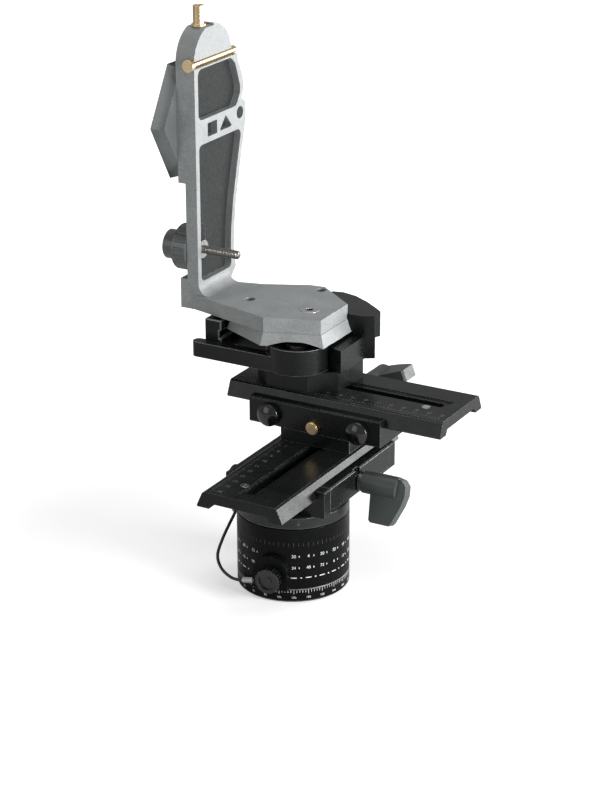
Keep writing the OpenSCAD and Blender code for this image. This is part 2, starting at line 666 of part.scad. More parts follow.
module l_bracket() color(cast_grey) at_seat() difference() {
  union() {
    translate([0, 0, foot_z]) linear_extrude(foot_t) polygon([[-112, -16.5], [-44, -34], [-5, -20], [-5, 20],
      [-38, 46], [-50, 44.5], [-57, 41], [-80.6, 30], [-102.6, 24.5], [-112, 26]]);
    side_shape(arm_outline, arm_out, arm_t, foot_top);
    translate([0, dome_y, rod_z]) rod_x(dome_r, arm_out, arm_t);
    translate([0, ear_y, ear_z]) rod_x(8, arm_out, arm_t);
    difference() {
      translate([arm_in - 1, -16.5, foot_top - 1]) cube([10, 42, 10]);
      translate([arm_in + 9, 0, foot_top + 9]) rod_y(9, -40, 90);
    }
  }
  side_pocket(lower_pocket, 4);
  side_pocket(upper_pocket, 5);
  side_pocket([[0, 115.5], [13, 115.5], [13, 125.5], [0, 125.5]], 1);
  side_pocket([[16, 116], [34, 116], [25, 126]], 1);
  translate([0, slot_y, 0]) {
    translate([arm_out - over, -slot_r, slot_low + slot_r])
      cube([arm_t + 2 * over, 2 * slot_r, slot_high - slot_low - 2 * slot_r]);
    translate([0, 0, slot_low + slot_r]) rod_x(slot_r, arm_out - over, arm_t + 2 * over);
    translate([0, 0, slot_high - slot_r]) rod_x(slot_r, arm_out - over, arm_t + 2 * over);
  }
  translate([arm_out - over, -40, foot_top + 11.5]) cube([6 + over, 100, 72]);
  translate([0, ear_y, ear_z]) rod_x(ear_hole_r, arm_out - over, arm_t + 2 * over);
  translate([rod_x0, 0, rod_z]) {
    rod_y(rod_r + slip, -30, 80);
    translate([0, -30, -rod_r - slip]) cube([10, 80, 2 * rod_r + 2 * slip]);
  }
  translate([stud_x - 8, stud_y - 8, stud_z]) cube([16, 16, 10]);
  translate([stud_x, stud_y, stud_z - 11.5]) cylinder(r = 3, h = 20);
  for (p = foot_holes) translate([p[0], p[1], foot_z + 1.5]) cylinder(r = tripod_r, h = foot_t);
  translate([insert_xy[0], insert_xy[1], foot_top - insert_h]) cylinder(r = insert_r, h = 10);
  for (p = plate_screw_xy) translate([p[0], p[1], foot_z - over]) cylinder(r = 2.5, h = 7.5 + over);
  for (a = arm_screw_angles) arm_screw(a) cylinder(r = 2.5, h = 8.5);
}

// The place of one screw of the arm's plate, looking into the arm
module arm_screw(a)
  translate([arm_out - 0.5, hex_y + 22 * cos(a), hex_z + 22 * sin(a)]) rotate([0, 90, 0]) children();

module base_hex_plate() color(cast_grey) at_seat() difference() {
  translate([0, 0, seat_z]) flared(hex_outline, hex_t, hex_flare, 0.6);
  translate([drum_x, drum_y, seat_z - 0.01]) cylinder(r1 = 26, r2 = 16, h = 3.5);
  for (p = plate_screw_xy) translate([p[0], p[1], seat_z - over]) {
    cylinder(r = 2.5, h = 20);
    cylinder(r = 5, h = 4 + over);
  }
}

module base_plate_screws() color(silver) at_seat() for (p = plate_screw_xy)
  translate([p[0], p[1], seat_z + 0.3]) {
    cylinder(r = 4.9, h = 3.7);
    cylinder(r = 2.5, h = hex_t + 7);
  }

module base_insert() color(silver) at_seat()
  translate([insert_xy[0], insert_xy[1], foot_top - insert_h]) difference() {
    cylinder(r = insert_r, h = insert_h + 0.4);
    translate([0, 0, 1]) cylinder(r = 2.6, h = insert_h + over);
  }

module arm_hex_plate() color(cast_grey) at_seat() difference() {
  translate([arm_out, hex_y, hex_z]) rotate([0, -90, 0]) rotate(90)
    flared([for (i = [0:5]) arm_hex_r * [cos(60 * i), sin(60 * i)]], 9.7, 0, 3);
  for (a = arm_screw_angles) arm_screw(a) translate([0, 0, -15]) {
    cylinder(r = 2.5, h = 20);
    cylinder(r = 4.6, h = 9.5);
  }
}

module arm_plate_screws() color(silver) at_seat() for (a = arm_screw_angles)
  arm_screw(a) translate([0, 0, -8.5]) {
    difference() {
      cylinder(r = 4.5, h = 3);
      translate([0, 0, -over]) cylinder(r = 2, h = 2.6, $fn = 6);
    }
    translate([0, 0, 2.5]) cylinder(r = 2.5, h = 14);
  }

module cross_rod() color(brass) at_seat() translate([rod_x0, 0, rod_z]) {
  rod_y(rod_r, -17, 60);
  rod_y(4.6, -20, 3.5);
}

module top_stud() color(brass) at_seat() translate([stud_x, stud_y, stud_z]) difference() {
  union() {
    cylinder(r = 5.2, h = 2);
    cylinder(r = 4, h = 15);
    translate([0, 0, -11]) cylinder(r = 3, h = 12);
  }
  translate([0, 0, 9]) cylinder(r = 1.7, h = 10);
}

module camera_collar() color(satin_grey) at_seat() translate([0, slot_y, screw_z]) difference() {
  union() {
    rod_x(slot_r - slip, thin_out, arm_in - pocket_d - thin_out + 1);
    rod_x(6.8, arm_in - pocket_d + loose, 1.4);
  }
  rod_x(screw_neck_r + slip, thin_out - over, 20);
}

module camera_screw() color(satin_grey) at_seat() translate([0, slot_y, screw_z]) {
  rod_x(screw_neck_r, thin_out - 8, arm_in - thin_out + 8);
  rod_x(camera_screw_r, arm_in - 1.5, camera_screw_l + 1.5);
}

module camera_knob() color(black) at_seat() translate([0, slot_y, screw_z]) difference() {
  union() {
    rod_x(17, thin_out - 11.7, 11.4);
    rod_x(11, thin_out - 23, 12);
  }
  rod_x(screw_neck_r, thin_out - 8, 10);
  for (i = [0:17]) rotate([20 * i, 0, 0]) translate([0, 0, 17.6]) rod_x(1.3, thin_out - 10.7, 20);
}

base_disc();
scale_ring();
tripod_bush();
spindle();
base_screws();
index_ring();
barrel_shell();
barrel_cap();
cap_screws();
spindle_bush();
thrust_washer();
spindle_nut();
index_knob();
index_spring();
selector_pin();
lanyard();
lanyard_eye();
lower_carriage();
lower_mount_screws();
lower_gib();
lower_gib_springs();
lower_clamp_stud();
lower_wing_lever();
lower_guide_knob_front();
lower_guide_knob_rear();
lower_button();
lower_button_spring();
lower_plate();
lower_stop_screws();
upper_pad();
upper_pad_screws();
upper_carriage();
upper_mount_screws();
upper_gib();
upper_gib_springs();
upper_clamp_stud();
upper_wing_lever();
upper_guide_knob_left();
upper_guide_knob_right();
upper_button();
upper_button_spring();
upper_plate();
upper_stop_screws();
adapter_body();
adapter_screws();
adapter_lever();
adapter_lever_pin();
adapter_jaw();
l_bracket();
base_hex_plate();
base_plate_screws();
base_insert();
arm_hex_plate();
arm_plate_screws();
cross_rod();
top_stud();
camera_collar();
camera_screw();
camera_knob();
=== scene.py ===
import json
import math

import bmesh
import bpy
import numpy as np
from mathutils import Matrix, Vector


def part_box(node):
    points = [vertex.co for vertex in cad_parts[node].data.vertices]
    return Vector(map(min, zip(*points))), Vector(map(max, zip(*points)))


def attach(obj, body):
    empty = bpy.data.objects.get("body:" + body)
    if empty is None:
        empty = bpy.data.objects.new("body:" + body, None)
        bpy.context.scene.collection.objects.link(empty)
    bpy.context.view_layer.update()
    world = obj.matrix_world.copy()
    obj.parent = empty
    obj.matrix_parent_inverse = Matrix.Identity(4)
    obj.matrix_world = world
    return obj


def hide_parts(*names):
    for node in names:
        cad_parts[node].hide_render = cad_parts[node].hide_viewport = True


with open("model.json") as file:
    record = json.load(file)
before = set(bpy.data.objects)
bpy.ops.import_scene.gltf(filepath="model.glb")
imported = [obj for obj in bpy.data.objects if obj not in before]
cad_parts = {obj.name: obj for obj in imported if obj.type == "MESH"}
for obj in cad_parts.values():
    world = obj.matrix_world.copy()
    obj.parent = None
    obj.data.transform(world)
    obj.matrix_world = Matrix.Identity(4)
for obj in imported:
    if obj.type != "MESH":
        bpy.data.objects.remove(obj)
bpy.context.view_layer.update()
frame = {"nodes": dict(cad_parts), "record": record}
nodes = frame["nodes"]
mm = 0.001
print("frame loaded:", len(nodes), "nodes")

# the view that was fitted to the photograph's edges, for a picture of 600 x 800
camera = {"target": (0, 0, 0.15), "azimuth": 29.68, "elevation": 21.34, "roll": -0.27, "distance": 1.5556,
          "focal": 2246.3, "pictureHeight": 800, "principalRight": -7.43, "principalDown": -16.96, "sensor": 36}


def makeCamera(c):
    az, el, roll = (math.radians(c[k]) for k in ("azimuth", "elevation", "roll"))
    back = Vector((math.sin(az) * math.cos(el), -math.cos(az) * math.cos(el), math.sin(el)))
    right = Vector((math.cos(az), math.sin(az), 0))
    up = back.cross(right)
    turnedRight = math.cos(roll) * right + math.sin(roll) * up
    turnedUp = -math.sin(roll) * right + math.cos(roll) * up
    data = bpy.data.cameras.new("photoView")
    data.sensor_fit = "VERTICAL"
    data.sensor_height = c["sensor"]
    data.lens = c["focal"] / c["pictureHeight"] * c["sensor"]
    data.shift_x = -c["principalRight"] / c["pictureHeight"]
    data.shift_y = c["principalDown"] / c["pictureHeight"]
    data.clip_start = 0.05
    o = bpy.data.objects.new("photoView", data)
    o.matrix_world = Matrix((turnedRight, turnedUp, back)).transposed().to_4x4()
    o.location = Vector(c["target"]) + c["distance"] * back
    bpy.context.scene.collection.objects.link(o)
    bpy.context.scene.camera = o


makeCamera(camera)


def meshObject(name, verts, faces, smooth=True):
    mesh = bpy.data.meshes.new(name)
    mesh.from_pydata(verts, [], faces)
    mesh.polygons.foreach_set("use_smooth", [smooth] * len(mesh.polygons))
    mesh.update()
    o = bpy.data.objects.new(name, mesh)
    bpy.context.scene.collection.objects.link(o)
    return o


def gridFaces(rows, cols, closeRows=False, closeCols=True):
    # quads between neighbouring rows and columns of a numpy grid, as index rows
    i, j = np.meshgrid(np.arange(rows - (not closeRows)), np.arange(cols - (not closeCols)), indexing="ij")
    a, b = i * cols + j, ((i + 1) % rows) * cols + j
    c, d = ((i + 1) % rows) * cols + (j + 1) % cols, i * cols + (j + 1) % cols
    return np.stack([a, b, c, d], -1).reshape(-1, 4)


def outwards(o):
    bm = bmesh.new()
    bm.from_mesh(o.data)
    bmesh.ops.recalc_face_normals(bm, faces=bm.faces)
    bm.to_mesh(o.data)
    bm.free()
    return o


# the tether: the same points as its solid, from the ferrule round to the eye
tether = {"start": (-17.9, -39.3, 11.2), "startDirection": (0.908, -0.262, 0.327), "straight": 6,
          "points": [(-32, -35, 8.6), (-40.8, -32.5, 12.5), (-45.4, -29.3, 20), (-44.6, -24, 30),
                     (-42.5, -17.5, 40), (-41.5, -12, 46), (-41.1, -8.7, 50)],
          "radius": 1.1, "sides": 20, "steps": 9}


def smoothRoute(points, steps):
    # Catmull-Rom curve through the points, with a fixed number of steps between each pair
    p = np.vstack([points[:1], points, points[-1:]])
    t = np.linspace(0, 1, steps, endpoint=False)[:, None]
    pieces = [0.5 * (2 * b + (c - a) * t + (2 * a - 5 * b + 4 * c - d) * t ** 2 + (3 * b - a - 3 * c + d) * t ** 3)
              for a, b, c, d in zip(p[:-3], p[1:-2], p[2:-1], p[3:])]
    return np.vstack(pieces + [points[-1:]])


def tubeAlong(name, path, radius, sides):
    # a circle carried along the path, its frame found from one fixed direction, with fan caps
    d = np.gradient(path, axis=0)
    d /= np.linalg.norm(d, axis=1)[:, None]
    a = np.cross(d, (0.3, -0.2, 0.93))
    a /= np.linalg.norm(a, axis=1)[:, None]
    b = np.cross(d, a)
    turn = np.linspace(0, 2 * np.pi, sides, endpoint=False)
    ring = radius * (np.cos(turn)[None, :, None] * a[:, None] + np.sin(turn)[None, :, None] * b[:, None])
    verts = (path[:, None] + ring).reshape(-1, 3)
    faces = gridFaces(len(path), sides).tolist()
    faces += [list(range(sides)), list(range(len(verts) - sides, len(verts)))[::-1]]
    return outwards(meshObject(name, verts.tolist(), faces))


def makeTether(c):
    start = np.array(c["start"])
    points = np.vstack([start, start - c["straight"] * np.array(c["startDirection"]), c["points"]]) * mm
    path = smoothRoute(points, c["steps"])
    o = tubeAlong("tetherCable", path, c["radius"] * mm, c["sides"])
    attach(o, "pan")
    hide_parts("lanyard")
    return o


tetherCable = makeTether(tether)

# shader groups: each gives colour, roughness or height values over the surface


def newGroup(name, inputs, outputs):
    g = bpy.data.node_groups.new(name, "ShaderNodeTree")
    for label, kind, value in inputs:
        s = g.interface.new_socket(label, in_out="INPUT", socket_type=kind)
        s.default_value = value
    for label, kind in outputs:
        g.interface.new_socket(label, in_out="OUTPUT", socket_type=kind)
    return g, g.nodes.new("NodeGroupInput"), g.nodes.new("NodeGroupOutput")


def put(tree, kind, **settings):
    n = tree.nodes.new(kind)
    for key, value in settings.items():
        if key in n.inputs.keys():
            n.inputs[key].default_value = value
        else:
            setattr(n, key, value)
    return n


def maths(tree, operation, a, b=0.5, clamp=False):
    n = put(tree, "ShaderNodeMath", operation=operation, use_clamp=clamp)
    for socket, value in zip(n.inputs, (a, b)):
        if isinstance(value, bpy.types.NodeSocket):
            tree.links.new(value, socket)
        else:
            socket.default_value = value
    return n.outputs[0]


def noise(tree, vector, scale, detail=3.0, roughness=0.55):
    n = put(tree, "ShaderNodeTexNoise", Scale=scale, Detail=detail, Roughness=roughness)
    tree.links.new(vector, n.inputs["Vector"])
    return n.outputs["Fac"]


def spread(tree, value, low, high, newLow=0.0, newHigh=1.0):
    n = put(tree, "ShaderNodeMapRange")
    for label, v in (("From Min", low), ("From Max", high), ("To Min", newLow), ("To Max", newHigh)):
        if isinstance(v, bpy.types.NodeSocket):
            tree.links.new(v, n.inputs[label])
        else:
            n.inputs[label].default_value = v
    tree.links.new(value, n.inputs["Value"])
    return n.outputs["Result"]


def mixColour(tree, fac, a, b, blend="MIX"):
    n = put(tree, "ShaderNodeMix", data_type="RGBA", blend_type=blend)
    for socket, v in ((n.inputs["Factor"], fac), (n.inputs[6], a), (n.inputs[7], b)):
        if isinstance(v, bpy.types.NodeSocket):
            tree.links.new(v, socket)
        else:
            socket.default_value = v
    return n.outputs[2]


finish = {"cloudScale": 55, "fineScale": 900, "fineShare": 0.5, "lineStretch": (60, 60, 1400),
          "lineTurn": (0.7, 0.5, 0.2), "lineRange": (0.62, 0.78), "scratchColour": (0.5, 0.5, 0.5, 1),
          "lowestGain": 0.1, "scratchDepth": 1.5, "dustScale": 420, "dustDetail": 6, "dustRough": 0.75,
          "dustRange": (0.55, 0.72), "dustFacing": (0.6, 1.0), "dustColour": (0.42, 0.41, 0.38, 1)}


def makeFinishGroup(c):
    # satin finish: cloudy tone, fine grain, faint scratches; the object's own coordinates in metres
    g, gin, gout = newGroup("metalFinish", [
        ("Colour", "NodeSocketColor", (0.1, 0.1, 0.1, 1)), ("Cloud Amount", "NodeSocketFloat", 0.2),
        ("Roughness", "NodeSocketFloat", 0.4), ("Roughness Spread", "NodeSocketFloat", 0.1),
        ("Grain Scale", "NodeSocketFloat", 3000.0), ("Grain Amount", "NodeSocketFloat", 0.15),
        ("Scratch Amount", "NodeSocketFloat", 0.1), ("Dust Amount", "NodeSocketFloat", 0.0)],
        [("Colour", "NodeSocketColor"), ("Roughness", "NodeSocketFloat"), ("Height", "NodeSocketFloat")])
    co = g.nodes.new("ShaderNodeTexCoord").outputs["Object"]
    cloud = spread(g, noise(g, co, c["cloudScale"], 4), 0.3, 0.7, -1, 1)
    fine = spread(g, noise(g, co, c["fineScale"], 2), 0.35, 0.65, -1, 1)
    grainNoise = put(g, "ShaderNodeTexNoise", Detail=2.0)
    g.links.new(co, grainNoise.inputs["Vector"])
    g.links.new(gin.outputs["Grain Scale"], grainNoise.inputs["Scale"])
    grain = spread(g, grainNoise.outputs["Fac"], 0.3, 0.7, -1, 1)
    stretch = put(g, "ShaderNodeMapping")
    stretch.inputs["Scale"].default_value = c["lineStretch"]
    stretch.inputs["Rotation"].default_value = c["lineTurn"]
    g.links.new(co, stretch.inputs["Vector"])
    lines = spread(g, noise(g, stretch.outputs[0], 1, 2), *c["lineRange"])
    softFine = maths(g, "MULTIPLY", fine, c["fineShare"])
    cloudy = maths(g, "MULTIPLY", maths(g, "ADD", cloud, softFine), gin.outputs["Cloud Amount"])
    grained = maths(g, "MULTIPLY", grain, gin.outputs["Grain Amount"])
    gain = maths(g, "MAXIMUM", maths(g, "ADD", maths(g, "ADD", cloudy, grained), 1.0), c["lowestGain"])
    scaled = put(g, "ShaderNodeVectorMath", operation="SCALE")
    g.links.new(gin.outputs["Colour"], scaled.inputs[0])
    g.links.new(gain, scaled.inputs["Scale"])
    scratched = maths(g, "MULTIPLY", lines, gin.outputs["Scratch Amount"])
    colour = mixColour(g, scratched, scaled.outputs[0], c["scratchColour"])
    up = put(g, "ShaderNodeSeparateXYZ")
    g.links.new(g.nodes.new("ShaderNodeNewGeometry").outputs["Normal"], up.inputs[0])
    facingUp = spread(g, up.outputs["Z"], *c["dustFacing"])
    dusty = spread(g, noise(g, co, c["dustScale"], c["dustDetail"], c["dustRough"]), *c["dustRange"])
    speck = maths(g, "MULTIPLY", dusty, facingUp)
    colour = mixColour(g, maths(g, "MULTIPLY", speck, gin.outputs["Dust Amount"]), colour, c["dustColour"])
    g.links.new(colour, gout.inputs["Colour"])
    rough = maths(g, "ADD", gin.outputs["Roughness"],
                  maths(g, "MULTIPLY", maths(g, "ADD", cloud, fine), gin.outputs["Roughness Spread"]), clamp=True)
    g.links.new(rough, gout.inputs["Roughness"])
    height = maths(g, "SUBTRACT", grained, maths(g, "MULTIPLY", scratched, c["scratchDepth"]))
    g.links.new(height, gout.inputs["Height"])
    return g


finishGroup = makeFinishGroup(finish)


def makeMaterial(name, colour, rough, metal=0.0, cloud=0.12, roughSpread=0.05, grainScale=3000.0, grain=0.12,
                 scratch=0.03, dust=0.0, bump=0.15, depth=0.1, coat=0.0, coatRough=0.2, specular=0.5):
    m = bpy.data.materials.new(name)
    m.use_nodes = True
    t = m.node_tree
    p = t.nodes["Principled BSDF"]
    g = put(t, "ShaderNodeGroup", node_tree=finishGroup)
    for label, value in (("Colour", (*colour, 1)), ("Cloud Amount", cloud), ("Roughness", rough),
                         ("Roughness Spread", roughSpread), ("Grain Scale", grainScale), ("Grain Amount", grain),
                         ("Scratch Amount", scratch), ("Dust Amount", dust)):
        g.inputs[label].default_value = value
    t.links.new(g.outputs["Colour"], p.inputs["Base Color"])
    t.links.new(g.outputs["Roughness"], p.inputs["Roughness"])
    b = put(t, "ShaderNodeBump", Strength=bump, Distance=depth * mm)
    t.links.new(g.outputs["Height"], b.inputs["Height"])
    t.links.new(b.outputs["Normal"], p.inputs["Normal"])
    p.inputs["Metallic"].default_value = metal
    p.inputs["Coat Weight"].default_value = coat
    p.inputs["Coat Roughness"].default_value = coatRough
    p.inputs["Specular IOR Level"].default_value = specular
    return m


anodised = makeMaterial("blackAnodised", (0.005, 0.0058, 0.006), 0.3, grain=0.15, dust=0.01,
                        grainScale=2600, bump=0.25, scratch=0.01, specular=0.25)
# lighter colour for the black parts' rounded edges: partly worn anodising, partly a painted highlight along the
# edges
anodisedWearAndHighlightEdge = makeMaterial("wornBlackEdgeAndPaintedHighlight", (0.2, 0.21, 0.21), 0.3, metal=0.3, cloud=0.2, grain=0.1, scratch=0.0)
barrelBlack = makeMaterial("barrelBlack", (0.003, 0.0033, 0.0034), 0.3, grain=0.3, dust=0.02, grainScale=2200,
                           bump=0.2, scratch=0.01, specular=0.09)
capGrey = makeMaterial("satinCap", (0.014, 0.015, 0.015), 0.34, metal=0.3, grain=0.2, cloud=0.2, grainScale=1800)
satinGrey = makeMaterial("satinTurned", (0.28, 0.29, 0.29), 0.32, metal=0.9, grain=0.15, scratch=0.08)
castGrey = makeMaterial("castEnamel", (0.3, 0.315, 0.315), 0.48, metal=0.1, cloud=0.1, grain=0.2, grainScale=1500,
                        bump=0.45, depth=0.12, scratch=0.02, dust=0.02, specular=0.25)
# near-white colour for the cast parts' rounded edges: a painted highlight
castHighlightEdge = makeMaterial("castPaintedHighlightEdge", (0.5, 0.51, 0.51), 0.3, metal=0.6, cloud=0.1, grain=0.1, scratch=0.0)
castDark = makeMaterial("castEnamelDark", (0.135, 0.145, 0.145), 0.4, metal=0.25, cloud=0.1, grain=0.2,
                        grainScale=1500, bump=0.4, depth=0.12, scratch=0.02)
plasticBlack = makeMaterial("knobPlastic", (0.004, 0.0044, 0.0044), 0.14, cloud=0.1, grain=0.05, grainScale=4000,
                            bump=0.05, scratch=0.01, coat=0.25, coatRough=0.06)
leverEnamel = makeMaterial("leverEnamel", (0.045, 0.055, 0.053), 0.42, cloud=0.12, grain=0.3, grainScale=2400,
                            bump=0.3, scratch=0.03, dust=0.04)
rubberBlack = makeMaterial("tetherRubber", (0.008, 0.008, 0.008), 0.45, grain=0.2, bump=0.2, scratch=0.0)
steel = makeMaterial("brightSteel", (0.56, 0.57, 0.58), 0.24, metal=1.0, cloud=0.03, grain=0.02, scratch=0.0,
                      roughSpread=0.02, bump=0.0)
darkSteel = makeMaterial("blackSteel", (0.03, 0.03, 0.032), 0.3, metal=0.4, grain=0.15)
brassMetal = makeMaterial("turnedBrass", (0.8, 0.62, 0.36), 0.26, metal=1.0, cloud=0.03, grain=0.02, scratch=0.0,
                          roughSpread=0.02, bump=0.0)
knobGrey = makeMaterial("knobGrey", (0.11, 0.118, 0.118), 0.34, metal=0.3, cloud=0.15, grain=0.15, bump=0.15)
bronzeMetal = makeMaterial("bushBronze", (0.42, 0.27, 0.13), 0.35, metal=1.0, cloud=0.15)
nylonWhite = makeMaterial("washerNylon", (0.7, 0.68, 0.62), 0.5, cloud=0.05, grain=0.05)
steelDark = makeMaterial("screwSteel", (0.2, 0.185, 0.175), 0.3, metal=0.9, cloud=0.04, grain=0.03, scratch=0.0,
                         bump=0.0)
markPaint = makeMaterial("markPaint", (0.8, 0.81, 0.8), 0.55, cloud=0.15, grain=0.25, grainScale=2500, scratch=0.0)
dimPaint = makeMaterial("wornMarkPaint", (0.15, 0.155, 0.155), 0.55, cloud=0.35, grain=0.4, grainScale=1200,
                        scratch=0.0)
faintPaint = makeMaterial("faintMarkPaint", (0.045, 0.047, 0.047), 0.5, cloud=0.3, grain=0.3, scratch=0.0)


def padMaterial(base, settings):
    # the bracket: the floors of its pockets, by their depth and direction, hold a mottled anti-slip coat
    m = base.copy()
    m.name = "castWithPads"
    t = m.node_tree
    p, g = t.nodes["Principled BSDF"], t.nodes["Group"]
    co = t.nodes.new("ShaderNodeTexCoord").outputs["Object"]
    place = put(t, "ShaderNodeSeparateXYZ")
    t.links.new(co, place.inputs[0])
    facing = put(t, "ShaderNodeSeparateXYZ")
    t.links.new(t.nodes.new("ShaderNodeNewGeometry").outputs["Normal"], facing.inputs[0])
    fromFloor = maths(t, "ABSOLUTE", maths(t, "SUBTRACT", place.outputs["X"], settings["floorX"] * mm))
    deep = maths(t, "LESS_THAN", fromFloor, settings["tolerance"] * mm)
    mask = maths(t, "MULTIPLY", deep, maths(t, "GREATER_THAN", facing.outputs["X"], settings["facing"]))
    mottle = spread(t, noise(t, co, settings["mottleScale"], 5, 0.7), *settings["mottleRange"])
    pad = mixColour(t, mottle, (*settings["dark"], 1), (*settings["light"], 1))
    colour = mixColour(t, mask, g.outputs["Colour"], pad)
    t.links.new(colour, p.inputs["Base Color"])
    rough = maths(t, "ADD", maths(t, "MULTIPLY", mask, settings["addedRoughness"]), g.outputs["Roughness"])
    t.links.new(rough, p.inputs["Roughness"])
    notPad = maths(t, "MULTIPLY", maths(t, "SUBTRACT", 1.0, mask), p.inputs["Metallic"].default_value)
    t.links.new(notPad, p.inputs["Metallic"])
    return m


pads = {"floorX": -113.5, "tolerance": 0.4, "facing": 0.9, "mottleScale": 420, "mottleRange": (0.35, 0.65),
        "addedRoughness": 0.3, "dark": (0.02, 0.022, 0.022), "light": (0.032, 0.035, 0.035)}
castWithPads = padMaterial(castGrey, pads)

# each visible node gets a copy with merged vertices, rounded edges and its own edge finish; on the black anodised
# parts, the barrel shell, the index knob and the cast parts that edge finish is lighter than the part and is a
# painted highlight along the edges
bodyOf = {n: body for body, members in frame["record"]["behaviour"]["bodies"].items() for n in members}
slotOf = {s["node"]: s["material_slot"] for s in frame["record"]["subparts"]}


merging = {"gap": 0.002, "degenerate": 0.003, "flatAngle": 0.6, "segments": 2, "sharpAngle": 28}


def softenedCopy(node, pieceName, main, edge, width, c=merging):
    source = nodes[node]
    bm = bmesh.new()
    bm.from_mesh(source.data)
    bmesh.ops.remove_doubles(bm, verts=bm.verts, dist=c["gap"] * mm)
    bmesh.ops.dissolve_degenerate(bm, edges=bm.edges, dist=c["degenerate"] * mm)
    bmesh.ops.dissolve_limit(bm, angle_limit=math.radians(c["flatAngle"]), verts=bm.verts, edges=bm.edges)
    for f in bm.faces:
        f.smooth = True
    for e in bm.edges:
        e.smooth = e.is_manifold and e.calc_face_angle(0) < math.radians(c["sharpAngle"])
    mesh = bpy.data.meshes.new(pieceName)
    bm.to_mesh(mesh)
    bm.free()
    o = bpy.data.objects.new(pieceName, mesh)
    bpy.context.scene.collection.objects.link(o)
    mesh.materials.append(main)
    mesh.materials.append(edge)
    bevel = o.modifiers.new("roundedEdges", "BEVEL")
    bevel.width = width * mm
    bevel.segments = c["segments"]
    bevel.limit_method = "ANGLE"
    bevel.angle_limit = math.radians(c["sharpAngle"])
    bevel.material = 1
    bevel.harden_normals = True
    bevel.use_clamp_overlap = True
    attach(o, bodyOf[node])
    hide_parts(node)
    return o


# piece: node, finish, edge finish (a lighter one is a painted edge highlight), rounding in mm
softened = [
    ("base_disc", anodised, anodisedWearAndHighlightEdge, 0.3), ("scale_ring", barrelBlack, anodisedWearAndHighlightEdge, 0.25),
    # the barrel shell and the index knob take the lighter lever colour on their edges as a painted highlight
    ("barrel_shell", barrelBlack, leverEnamel, 0.5), ("barrel_cap", capGrey, satinGrey, 0.35),
    ("index_knob", plasticBlack, leverEnamel, 0.3), ("selector_pin", steel, steel, 0.3),
    ("lanyard_eye", steel, steel, 0.25),
    ("lower_carriage", anodised, anodisedWearAndHighlightEdge, 0.35), ("upper_carriage", anodised, anodisedWearAndHighlightEdge, 0.35),
    ("lower_gib", anodised, anodisedWearAndHighlightEdge, 0.3), ("upper_gib", anodised, anodisedWearAndHighlightEdge, 0.3),
    ("lower_clamp_stud", satinGrey, satinGrey, 0.4), ("upper_clamp_stud", satinGrey, satinGrey, 0.4),
    ("lower_wing_lever", leverEnamel, leverEnamel, 1.3), ("upper_wing_lever", leverEnamel, leverEnamel, 1.3),
    ("lower_guide_knob_front", plasticBlack, plasticBlack, 0.5),
    ("lower_guide_knob_rear", plasticBlack, plasticBlack, 0.5),
    ("upper_guide_knob_left", plasticBlack, plasticBlack, 0.5),
    ("upper_guide_knob_right", plasticBlack, plasticBlack, 0.5),
    ("lower_button", brassMetal, brassMetal, 0.3), ("upper_button", brassMetal, brassMetal, 0.3),
    ("lower_plate", anodised, anodisedWearAndHighlightEdge, 0.7), ("upper_plate", anodised, anodisedWearAndHighlightEdge, 0.7),
    ("lower_stop_screws", steel, steel, 0.15), ("upper_stop_screws", steel, steel, 0.15),
    ("upper_pad", anodised, anodisedWearAndHighlightEdge, 0.4), ("adapter_body", anodised, anodised, 1.6),
    ("adapter_lever", anodised, anodisedWearAndHighlightEdge, 0.9), ("adapter_lever_pin", satinGrey, satinGrey, 0.3),
    ("adapter_jaw", anodised, anodisedWearAndHighlightEdge, 0.9), ("l_bracket", castWithPads, castHighlightEdge, 0.5),
    ("base_hex_plate", castGrey, castHighlightEdge, 0.4), ("base_insert", steel, steel, 0.3),
    ("arm_hex_plate", castDark, castHighlightEdge, 0.5), ("arm_plate_screws", steel, steel, 0.2),
    ("base_plate_screws", steel, steel, 0.2), ("cross_rod", brassMetal, brassMetal, 0.3),
    ("top_stud", brassMetal, brassMetal, 0.3), ("camera_collar", satinGrey, satinGrey, 0.2),
    ("camera_knob", knobGrey, knobGrey, 0.5), ("base_screws", steel, steel, 0.15),
    ("cap_screws", darkSteel, darkSteel, 0.15),
]


def pieceTitle(node):
    head, *rest = node.split("_")
    return head + "".join(word.title() for word in rest) + "Shape"


for node, main, edge, width in softened:
    softenedCopy(node, pieceTitle(node), main, edge, width)
print("softened copies:", len(softened))

# the nodes without a softened copy, mostly inside: they take their finish
insideFinish = {"steel": steel, "satin_metal": satinGrey, "black_steel": darkSteel, "bronze": bronzeMetal,
                "nylon": nylonWhite, "black_metal": anodised, "black_plastic": plasticBlack, "brass": brassMetal,
                "cast_metal": castGrey, "lanyard": rubberBlack, "lever_metal": leverEnamel}
tetherCable.data.materials.append(rubberBlack)
for name, o in nodes.items():
    if not o.hide_render:
        o.data.materials.clear()
        o.data.materials.append(insideFinish[slotOf[name]])

# the camera screw: a 1/4 inch thread with 20 turns to the inch, and a plain chamfered tip
cameraThread = {"radius": 3.175, "depth": 0.62, "pitch": 1.27, "start": -110.0, "end": -82.0,
                "y": 66.5, "z": 211.0, "around": 48, "perTurn": 16, "chamfer": 0.9, "crest": 0.12, "flank": 0.76,
                "neckRadius": 2.975, "neckStart": -126.0}


